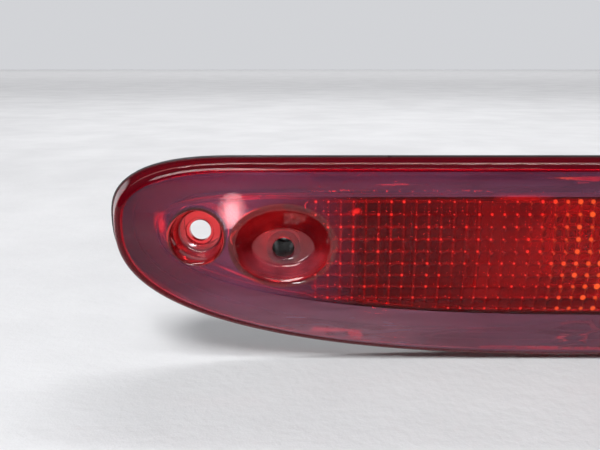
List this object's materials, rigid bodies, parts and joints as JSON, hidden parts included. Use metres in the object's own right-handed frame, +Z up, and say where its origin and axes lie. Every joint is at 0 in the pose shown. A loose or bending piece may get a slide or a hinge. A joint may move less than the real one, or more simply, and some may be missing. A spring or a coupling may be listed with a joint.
{
  "type": "third brake light",
  "caption": "Long D-shaped high-level brake light: red lens with screw wells and oval dishes, black housing, reflector, bayonet bulb and quarter-turn holder.",
  "frame": {"origin": "on the plane of the vehicle's body panel, midway between the two outer fixing holes", "axes": "+X along the lamp, -Y out of the lens, +Y into the vehicle along the fixing screws, +Z up as mounted"},
  "size_m": [0.342, 0.084, 0.0726],
  "materials": {
    "lens_red": "clear deep red acrylic, polished, fine scratches",
    "housing_black": "moulded black ABS, fine spark texture",
    "reflector_metal": "aluminised plastic",
    "screw_steel": "zinc plated",
    "foam_black": "closed-cell foam",
    "rubber_black": "soft moulded rubber",
    "clear_glass": "blown clear glass",
    "wire_nickel": "drawn wire",
    "tungsten": "drawn tungsten coil",
    "cap_brass": "bright brass",
    "insulator_dark": "black glass",
    "solder": "dull solder",
    "insulator_brown": "laminated paper board",
    "spring_steel": "drawn steel wire",
    "terminal_brass": "tinned brass strip",
    "sleeve_steel": "plated pressed steel",
    "holder_grey": "glass-filled nylon",
    "seal_silicone": "moulded silicone rubber"
  },
  "bodies": {
    "lamp": {"lens": "lens_red", "housing": "housing_black", "reflector": "reflector_metal", "reflector_screws": "screw_steel", "gasket": "foam_black", "well_seal_left": "foam_black", "well_seal_right": "foam_black", "boss_seal_left": "rubber_black", "boss_seal_right": "rubber_black", "vent_cap_left": "rubber_black", "vent_cap_right": "rubber_black"},
    "holder": {"holder_body": "holder_grey", "holder_shell": "sleeve_steel", "holder_seal": "seal_silicone", "terminal_live": "terminal_brass", "terminal_earth": "terminal_brass", "contact_spring": "spring_steel"},
    "bulb": {"bulb_glass": "clear_glass", "bulb_stem": "clear_glass", "bulb_supports": "wire_nickel", "bulb_filament": "tungsten", "bulb_cap": "cap_brass", "bulb_insulator": "insulator_dark", "bulb_contact": "solder", "contact_plate": "insulator_brown", "live_contact": "cap_brass"}
  },
  "joints": [
    {"name": "holder_twist", "type": "hinge", "parent": "lamp", "child": "holder", "pos_m": [0, 0.02, -0.0074], "axis": [0, 1, 0], "range_deg": [0, 45]},
    {"name": "bulb_push", "type": "slide", "parent": "holder", "child": "bulb", "axis": [0, 1, 0], "range_m": [0, 0.002], "stiffness_N_per_m": 5000, "springref_m": -0.001, "deforming": ["contact_spring"]}
  ]
}
